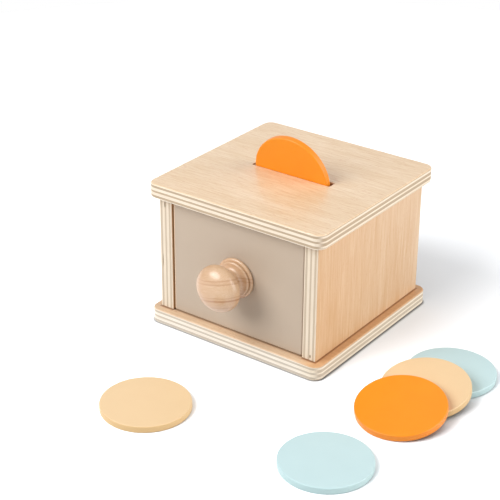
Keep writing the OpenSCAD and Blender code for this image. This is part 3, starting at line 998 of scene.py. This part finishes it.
screwSetup = {"steps": 24, "rowsPerTurn": 8, "woodPitch": 1.3, "machinePitch": 0.7,
              "woodDepth": 0.26, "machineDepth": 0.14, "plainShare": 0.3,
              "woodCross": (1.1, 0.3, 0.5), "machineCross": (1.0, 0.25),    # of the head's radius
              "crossDepth": 0.6, "crossNarrow": 0.55,
              "domeEdge": 0.2, "domeShare": 0.4, "domeSteps": 8, "boltTip": 0.8}


def crossCutter(name, reach, width, depth, past):    # a cross that narrows as it goes in
    points = []
    for height, share in ((-past, 1.0), (0, 1.0), (depth, screwSetup["crossNarrow"])):
        far, near = reach / 2 * share, width / 2 * share
        for quarter in range(4):
            turn = Matrix.Rotation(math.radians(90 * quarter), 3, "Z")
            for x, y in ((far, near), (near, near), (near, far)):
                points.append(turn @ Vector((x, y, height)) * mm)
    count = len(points) // 3
    faces = [tuple(range(count))[::-1], tuple(range(2 * count, 3 * count))]
    for first in (0, count):
        for index in range(first, first + count):
            after = first + (index - first + 1) % count
            faces.append((index, after, after + count, index + count))
    return closeShell(meshObject(name, points, faces=faces))


makeDowels("lidDowels", "lid_dowels", "carcass", "Z", (0, 0, 1), (0.8, 0.6, 0), 81.0)
makeDowels("frontDowels", "drawer_front_dowels", "drawer", "Y", (0, 1, 0), (0.6, 0, 0.8), 84.0)
makeDowels("backDowels", "drawer_back_dowels", "drawer", "X", (1, 0, 0), (0, 0.6, 0.8), 87.0)

zinc = zincMaterial()
woodPitch, boltPitch = screwSetup["woodPitch"], screwSetup["machinePitch"]
woodScrew = makeTurned("woodScrew", baseScrew(woodPitch / screwSetup["rowsPerTurn"], 0),
                       screwSetup["steps"])
cutRidges(woodScrew, 1, woodPitch, screwSetup["woodDepth"], screwL * screwSetup["plainShare"], screwL,
          woodPitch)
recess = crossCutter("woodScrewRecess", *(headR * share for share in screwSetup["woodCross"]), over)
cut(woodScrew, recess)
drop(recess)
moveMesh(woodScrew, shift((0, 0, -screwL / 2)))
finishPiece(placeShapes("baseScrews", woodScrew, screwParts, math.tau), zinc,
            "carcass", "base_screws", "turned")

washerMiddle, washerSize = boxOf("knob_washer")
knobHeadR = knobScrewSize.x / 2
boltHeadY = washerMiddle.y + washerSize.y / 2
knobHeadH = knobScrewMiddle.y + knobScrewSize.y / 2 - boltHeadY
knobShankL = knobScrewSize.y - knobHeadH
rows = round(knobShankL / boltPitch * screwSetup["rowsPerTurn"])
domeR, domeEdge = knobHeadR * screwSetup["domeShare"], screwSetup["domeEdge"]
dome = arc(knobHeadR - domeR, -domeEdge, domeR, knobHeadH - domeEdge, -90, 0, screwSetup["domeSteps"])
knobScrewOutline = [
    (0, -knobHeadH), *dome, (knobHeadR, 0),
    *((knobShankR, knobShankL * row / rows) for row in range(rows)),
    (knobShankR * screwSetup["boltTip"], knobShankL), (0, knobShankL)]
knobBolt = makeTurned("knobBolt", knobScrewOutline, screwSetup["steps"])
cutRidges(knobBolt, 1, boltPitch, screwSetup["machineDepth"], washerSize.y, knobShankL, boltPitch)
recess = crossCutter("knobBoltRecess", *(knobHeadR * share for share in screwSetup["machineCross"]),
                     knobHeadH * screwSetup["crossDepth"], over)
moveMesh(recess, shift((0, 0, -knobHeadH)))
cut(knobBolt, recess)
drop(recess)
moveMesh(knobBolt, shift((0, boltHeadY, knobScrewMiddle.z)) @ frontward)
finishPiece(knobBolt, zinc, "drawer", "knob_screw", "turned")

washerSetup = {"ease": 0.2, "steps": 4}    # share of its thickness, and steps of each rounded rim
ease = washerSize.y * washerSetup["ease"]
rims = roundedEdge(washerSize.y, ease, washerSetup["steps"])
ring = [(washerSize.x / 2 - ease + x, y) for x, y in rims]
ring += [(knobShankR + room + ease - x, y) for x, y in reversed(rims)]
washer = makeTurned("knobWasher", ring + ring[:1])
moveMesh(washer, shift(washerMiddle) @ layings["Y"])
finishPiece(washer, zinc, "drawer", "knob_washer", "turned")
print("dowels, screws and washer are made")


# Light and floor. A level is how bright a lamp makes a white card that faces it
lightSetup = {
    "sky": 0.24,
    "skySeen": 1.0,
    "distance": 1.5,
    "lamps": {    # azimuth, elevation and half width in degrees, level, tint, floor only
        "keyLamp": (-29, 39, 20, 0.81, (1, 1, 1), False),
        "fillLamp": (105, 25, 28, 0.78, (1.0, 0.975, 0.94), False),
        "shadowLamp": (-24, 37, 23.5, 1.57, (1, 1, 1), True),
        "floorLamp": (0, 80, 50, 0.68, (1, 1, 1), True),
    },
    "floorSeen": tone(241, 243, 245.5),
    "floorBounce": tone(166, 165, 164),
    "floorFoot": tone(120, 118, 116),
    "footWidth": 1.6,    # millimetres
    "footStrength": 0.8,
    "floorReach": 0.65,    # metres; past it all is as white as the lit floor
    "floorSteps": 96,
    "floorDrop": 0.02,    # millimetres under the pieces that stand on it
}


def makeLamp(name, azimuth, elevation, spread, level, tint, receivers):
    distance, spread = lightSetup["distance"], math.radians(spread)
    away = direction(azimuth, elevation)
    data = bpy.data.lights.new(name, "AREA")
    data.shape = "DISK"
    data.size = 2 * distance * math.tan(spread)
    data.energy = level * (math.pi * distance / math.cos(spread)) ** 2
    data.color = tint
    lamp = addObject(name, data)
    lamp.matrix_world = (Matrix.Translation(away * distance)
                         @ away.to_track_quat("Z", "Y").to_matrix().to_4x4())
    lamp.light_linking.receiver_collection = receivers


def seenShare(graph):    # 1 where the camera sees a thing, straight or in a shiny face
    direct = graph.add("ShaderNodeLightPath", output="Is Camera Ray")
    return direct + direct.other("Is Glossy Ray")


def footShade(graph):    # soft line of shade where the base meets the floor
    spot = readPlace(graph)[0]
    corner = lidSetup["corner"]
    reach = boxOf("base_panel")[1].x / 2 - corner
    acrossX, acrossY = (graph.math("MAXIMUM", graph.math("ABSOLUTE", spot[axis]) - reach, 0.0)
                        for axis in "XY")
    away = graph.math("SQRT", acrossX * acrossX + acrossY * acrossY) - corner
    return (1 - graph.smooth(away, 0.0, lightSetup["footWidth"])) * lightSetup["footStrength"]


def makeFloor():
    reach, level = lightSetup["floorReach"], -lightSetup["floorDrop"] * mm
    rim = arc(0, 0, reach, reach, 0, 360, lightSetup["floorSteps"])[1:]
    floor = meshObject("studioFloor", [(*point, level) for point in rim], faces=[range(len(rim))])
    material, graph = newMaterial("studioPaper")
    bounce = graph.add("ShaderNodeBsdfDiffuse", inputs={"Color": lightSetup["floorBounce"]})
    seen = graph.add("ShaderNodeBsdfDiffuse", inputs={
        "Color": graph.mix(footShade(graph), lightSetup["floorSeen"], lightSetup["floorFoot"])})
    both = graph.add("ShaderNodeMixShader", inputs={0: seenShare(graph), 1: bounce, 2: seen})
    graph.add("ShaderNodeOutputMaterial", inputs={"Surface": both})
    floor.data.materials.append(material)
    return floor


def makeStage():
    world = bpy.data.worlds.new("studio")
    world.use_nodes = True
    world.node_tree.nodes.clear()
    graph = Graph(world.node_tree)
    sky, skySeen = lightSetup["sky"], lightSetup["skySeen"]
    background = graph.add("ShaderNodeBackground", inputs={
        "Color": (1, 1, 1, 1), "Strength": sky + seenShare(graph) * (skySeen - sky)})
    graph.add("ShaderNodeOutputWorld", inputs={"Surface": background})
    bpy.context.scene.world = world
    floor = makeFloor()
    floorOnly = bpy.data.collections.new("floorOnly")    # lit by the lamp that draws the shadow
    notFloor = bpy.data.collections.new("notFloor")    # lit by the key and the fill
    for collection, state in ((floorOnly, "INCLUDE"), (notFloor, "EXCLUDE")):
        collection.objects.link(floor)
        collection.collection_objects[0].light_linking.link_state = state
    for name, (*setup, onFloor) in lightSetup["lamps"].items():
        makeLamp(name, *setup, floorOnly if onFloor else notFloor)
    bpy.context.scene.view_settings.view_transform = "Standard"


makeStage()
print("stage is set")
